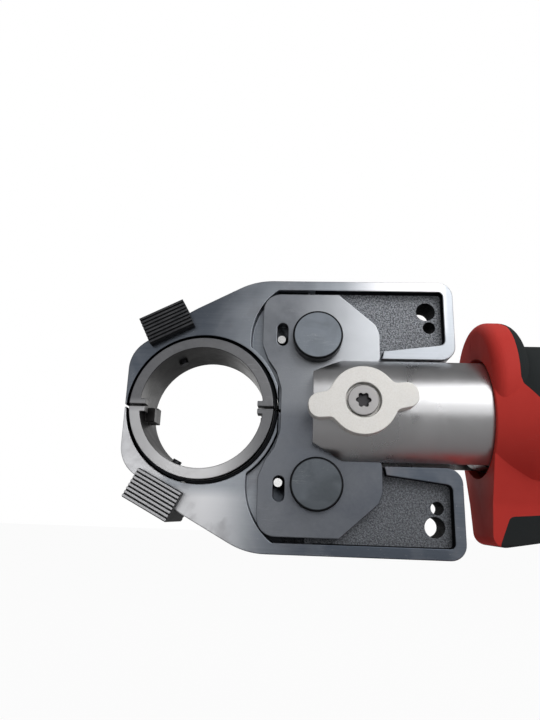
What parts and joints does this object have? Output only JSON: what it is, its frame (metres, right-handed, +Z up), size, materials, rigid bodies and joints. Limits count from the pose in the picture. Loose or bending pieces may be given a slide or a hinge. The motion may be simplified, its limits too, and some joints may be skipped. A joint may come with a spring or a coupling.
{
  "type": "hydraulic crimping tool",
  "caption": "Cordless hydraulic press tool with a large scissor press jaw on a slotted swivelling yoke, pistol grip and slide-on battery.",
  "frame": {"origin": "centre of the closed die bore, on the tool's axis", "axes": "+X along the tool's axis from the jaw to the motor, +Z up from the battery to the barrel, +Y to the tool's right, away from the wing knob"},
  "size_m": [0.4369, 0.0851, 0.3058],
  "materials": {
    "arm_steel": "satin",
    "plate_steel": "satin",
    "die_steel": "satin",
    "black_steel": "satin",
    "pin_steel": "satin",
    "bright_steel": "bright",
    "yoke_steel": "turned satin",
    "knob_casting": "pitted satin",
    "spring_steel": "satin",
    "bronze": "satin",
    "alloy": "satin",
    "seal": "matt",
    "red_plastic": "satin",
    "black_rubber": "matt",
    "black_plastic": "satin",
    "grey_plastic": "satin",
    "board": "satin",
    "cell": "gloss"
  },
  "bodies": {
    "body": {"housing_left": "red_plastic", "housing_right": "red_plastic", "top_overmould": "black_rubber", "chin_bumper": "black_rubber", "grip_sleeve": "black_rubber", "housing_screws": "black_steel", "swivel_ring": "bronze", "pump_block": "alloy", "pump_plunger": "bright_steel", "reservoir": "seal", "gearbox": "alloy", "motor_can": "yoke_steel", "trigger_switch": "black_plastic", "control_board": "board", "terminal_block": "black_plastic"},
    "head": {"yoke": "yoke_steel", "pin_collar": "bright_steel", "cylinder_tube": "yoke_steel", "cylinder_cap": "yoke_steel", "return_spring": "spring_steel"},
    "ram": {"ram_fork": "yoke_steel", "roller_pins": "bright_steel", "piston_rod": "bright_steel", "piston": "yoke_steel", "piston_seal": "seal"},
    "upper_roller": {"roller_upper": "bright_steel"},
    "lower_roller": {"roller_lower": "bright_steel"},
    "jaw_frame": {"side_plate_front": "plate_steel", "side_plate_rear": "plate_steel", "jaw_pin_upper": "pin_steel", "jaw_pin_lower": "pin_steel", "jaw_pin_washers": "pin_steel", "jaw_pin_rings": "spring_steel", "jaw_spring": "spring_steel"},
    "upper_arm": {"jaw_arm_upper": "arm_steel", "die_half_upper": "die_steel", "limit_pin_upper": "bright_steel"},
    "lower_arm": {"jaw_arm_lower": "arm_steel", "die_half_lower": "die_steel", "limit_pin_lower": "bright_steel"},
    "upper_release": {"die_release_upper": "black_steel", "die_pin_upper": "bright_steel"},
    "lower_release": {"die_release_lower": "black_steel", "die_pin_lower": "bright_steel"},
    "lock_pin": {"locking_pin": "bright_steel"},
    "knob": {"wing_knob": "knob_casting", "knob_screw": "pin_steel"},
    "rotor": {"motor_rotor": "spring_steel", "motor_fan": "black_plastic"},
    "pump_drive": {"pump_shaft": "bright_steel"},
    "trigger": {"trigger": "black_plastic"},
    "release_button": {"release_button": "black_plastic"},
    "battery": {"battery_case": "black_plastic", "battery_lid": "red_plastic", "cells": "cell", "cell_holders": "black_plastic", "battery_board": "board"},
    "left_latch": {"latch_button_left": "black_plastic"},
    "right_latch": {"latch_button_right": "black_plastic"},
    "gauge": {"gauge_button": "grey_plastic"}
  },
  "joints": [
    {"name": "head_swivel", "type": "hinge", "parent": "body", "child": "head", "pos_m": [0.16, 0, 0], "axis": [1, 0, 0], "range_deg": [-175, 175]},
    {"name": "ram_slide", "type": "slide", "parent": "head", "child": "ram", "axis": [-1, 0, 0], "range_m": [0, 0.045], "stiffness_N_per_m": 700, "springref_m": -0.03, "deforming": ["return_spring"]},
    {"name": "upper_roller_spin", "type": "hinge", "parent": "ram", "child": "upper_roller", "pos_m": [0.1548, 0, 0.01415], "axis": [0, 1, 0], "continuous": true},
    {"name": "lower_roller_spin", "type": "hinge", "parent": "ram", "child": "lower_roller", "pos_m": [0.1548, 0, -0.01415], "axis": [0, 1, 0], "continuous": true},
    {"name": "jaw_swing", "type": "hinge", "parent": "head", "child": "jaw_frame", "pos_m": [0.0828, 0, 0], "axis": [0, 1, 0], "range_deg": [-1.5, 0]},
    {"name": "upper_arm_pivot", "type": "hinge", "parent": "jaw_frame", "child": "upper_arm", "pos_m": [0.0614, 0, 0.0389], "axis": [0, -1, 0], "range_deg": [-19, 0], "stiffness_Nm_per_rad": 3, "springref_deg": 20.05, "deforming": ["jaw_spring"]},
    {"name": "lower_arm_pivot", "type": "hinge", "parent": "jaw_frame", "child": "lower_arm", "pos_m": [0.0614, 0, -0.0389], "axis": [0, 1, 0], "range_deg": [-19, 0], "stiffness_Nm_per_rad": 3, "springref_deg": 20.05},
    {"name": "upper_release_slide", "type": "slide", "parent": "upper_arm", "child": "upper_release", "axis": [-0.454, 0, 0.891], "range_m": [0, 0.0105], "stiffness_N_per_m": 400, "springref_m": -0.012},
    {"name": "lower_release_slide", "type": "slide", "parent": "lower_arm", "child": "lower_release", "axis": [-0.454, 0, -0.891], "range_m": [0, 0.0105], "stiffness_N_per_m": 400, "springref_m": -0.012},
    {"name": "locking_pin_slide", "type": "slide", "parent": "head", "child": "lock_pin", "axis": [0, -1, 0], "range_m": [0, 0.052]},
    {"name": "knob_turn", "type": "hinge", "parent": "lock_pin", "child": "knob", "pos_m": [0.0828, 0, 0], "axis": [0, -1, 0], "range_deg": [0, 90]},
    {"name": "motor_spin", "type": "hinge", "parent": "body", "child": "rotor", "pos_m": [0.35, 0, 0], "axis": [1, 0, 0], "continuous": true},
    {"name": "pump_shaft_spin", "type": "hinge", "parent": "body", "child": "pump_drive", "pos_m": [0.3, 0, 0], "axis": [1, 0, 0], "continuous": true},
    {"name": "trigger_pull", "type": "slide", "parent": "body", "child": "trigger", "axis": [1, 0, 0], "range_m": [0, 0.006], "stiffness_N_per_m": 700, "springref_m": -0.004},
    {"name": "release_button_press", "type": "slide", "parent": "body", "child": "release_button", "axis": [0, 1, 0], "range_m": [0, 0.003], "stiffness_N_per_m": 700, "springref_m": -0.002},
    {"name": "battery_slide", "type": "slide", "parent": "body", "child": "battery", "axis": [-1, 0, 0], "range_m": [0, 0.08]},
    {"name": "left_latch_press", "type": "slide", "parent": "battery", "child": "left_latch", "axis": [0, 1, 0], "range_m": [0, 0.0015], "stiffness_N_per_m": 900, "springref_m": -0.001},
    {"name": "right_latch_press", "type": "slide", "parent": "battery", "child": "right_latch", "axis": [0, -1, 0], "range_m": [0, 0.0015], "stiffness_N_per_m": 900, "springref_m": -0.001},
    {"name": "gauge_press", "type": "slide", "parent": "battery", "child": "gauge", "axis": [1, 0, 0], "range_m": [0, 0.0006], "stiffness_N_per_m": 900, "springref_m": -0.0008}
  ],
  "couplings": [
    {"joint": "lower_arm_pivot", "follows": "upper_arm_pivot", "ratio": 1},
    {"joint": "pump_shaft_spin", "follows": "motor_spin", "ratio": 0.25}
  ]
}
